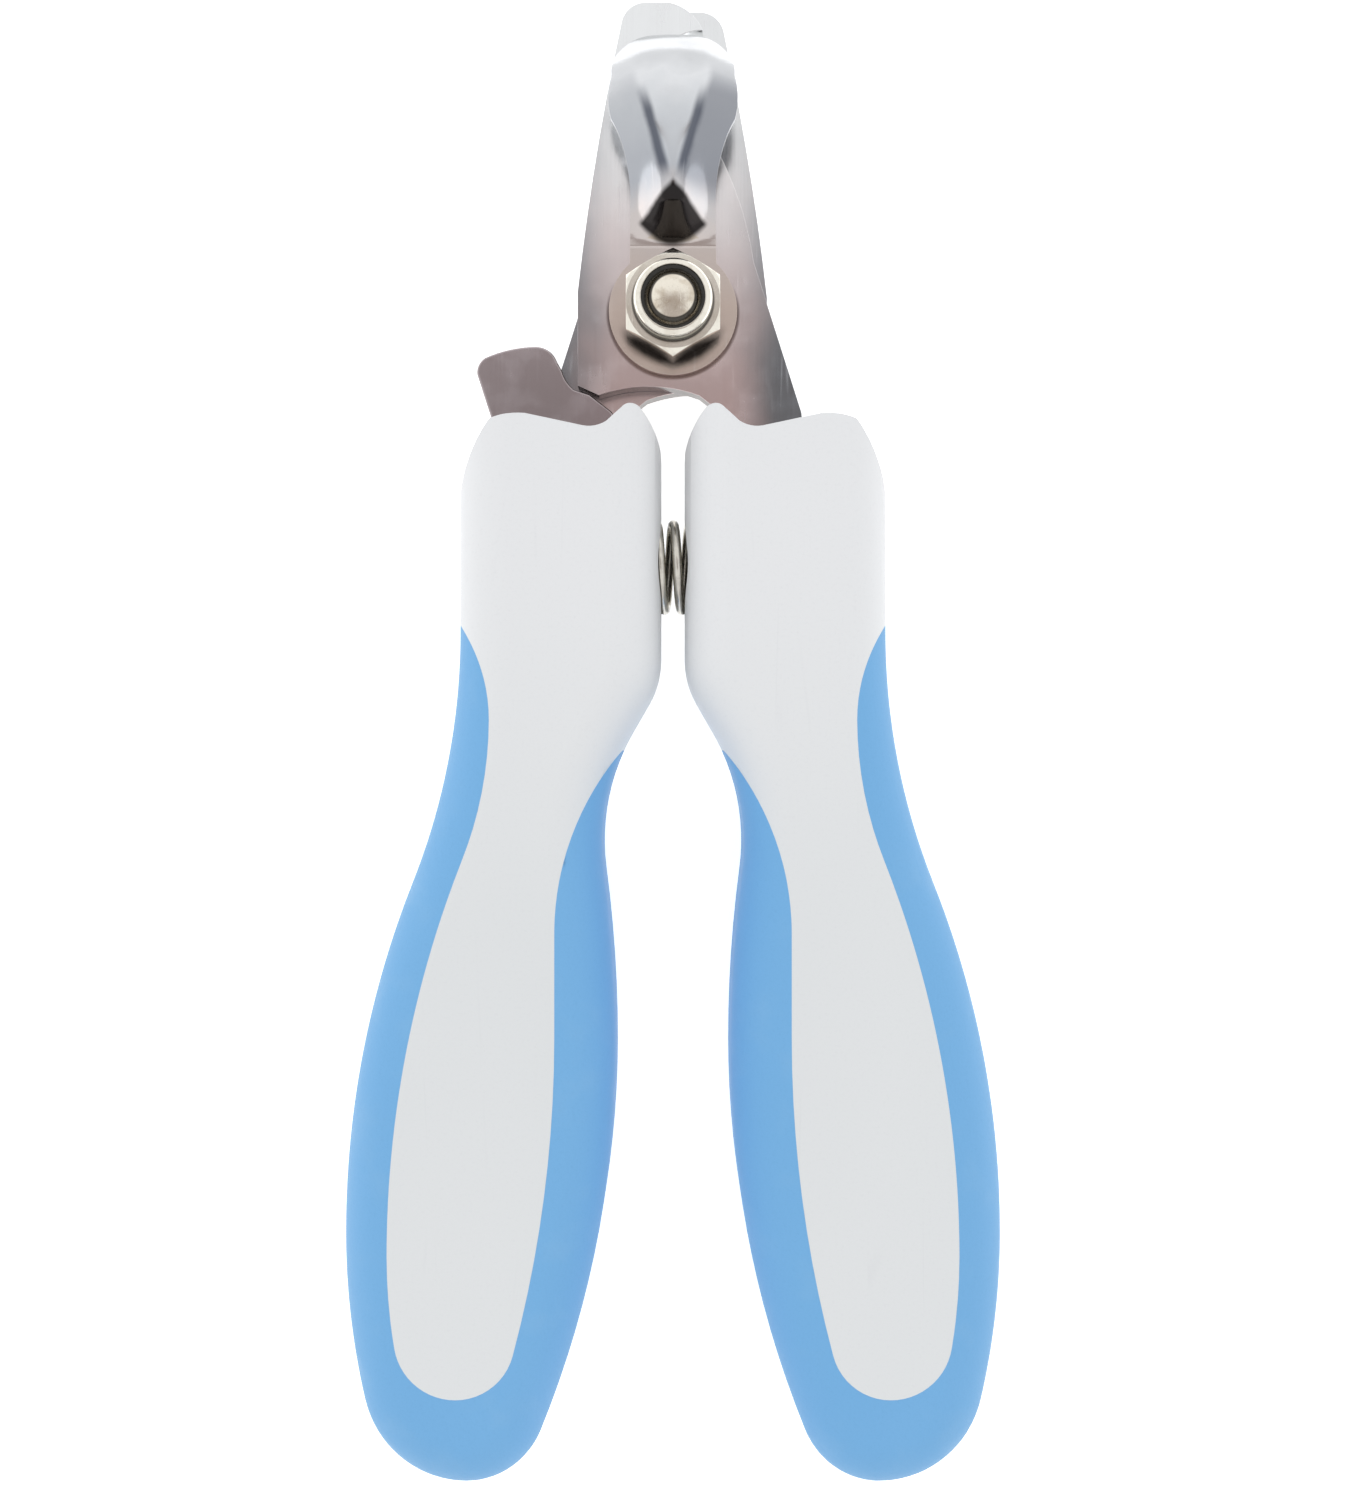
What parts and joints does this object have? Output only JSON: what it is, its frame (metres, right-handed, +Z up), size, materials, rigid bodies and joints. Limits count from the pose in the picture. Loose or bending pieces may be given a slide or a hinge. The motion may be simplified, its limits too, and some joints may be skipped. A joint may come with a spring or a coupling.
{
  "type": "scissor nail clipper",
  "caption": "Pet nail clipper: two crossed notched steel blades on a bolt, nail guard, lock lever, return spring and hard handles with soft grips.",
  "frame": {"origin": "bottom centre of the whole clipper's box: on the plane of the handles' flat backs, under the middle of its length and width", "axes": "+Y points from the handles to the blade tips, +Z up through the thickness to the nut side, +X to the side of the upper blade's handle"},
  "size_m": [0.0706, 0.1604, 0.0194],
  "materials": {
    "blade_steel": "polished stainless sheet with a fine grain",
    "guard_steel": "bright polished stainless sheet",
    "plated_steel": "nickel plated, slightly warm",
    "insert_nylon": "dark nylon locking ring",
    "spring_steel": "plated spring wire",
    "core_plastic": "satin white moulded plastic",
    "grip_rubber": "soft sky-blue thermoplastic rubber, satin"
  },
  "bodies": {
    "right_half": {"upper_blade": "blade_steel", "right_handle_core": "core_plastic", "right_handle_grip": "grip_rubber", "pivot_bolt": "plated_steel", "serrated_washer": "plated_steel", "pivot_nut": "plated_steel", "nut_insert": "insert_nylon"},
    "left_half": {"lower_blade": "blade_steel", "left_handle_core": "core_plastic", "left_handle_grip": "grip_rubber", "lock_screw": "plated_steel", "return_spring": "spring_steel"},
    "lever": {"lock_lever": "blade_steel"},
    "guard": {"nail_guard": "guard_steel"}
  },
  "joints": [
    {"name": "handles_open", "type": "hinge", "parent": "right_half", "child": "left_half", "pos_m": [0, 0.04625, 0.00925], "axis": [0, 0, -1], "range_deg": [0, 13.5], "deforming": ["return_spring"]},
    {"name": "lock_swing", "type": "hinge", "parent": "left_half", "child": "lever", "pos_m": [-0.0115, 0.02565, 0.01055], "axis": [0, 0, 1], "range_deg": [0, 21.6]},
    {"name": "guard_swivel", "type": "hinge", "parent": "right_half", "child": "guard", "pos_m": [0, 0.04625, 0.0124], "axis": [0, 0, 1], "range_deg": [-85, 85]}
  ],
  "couplings": [
    {"joint": "lock_swing", "follows": "handles_open", "ratio": 1.6}
  ]
}
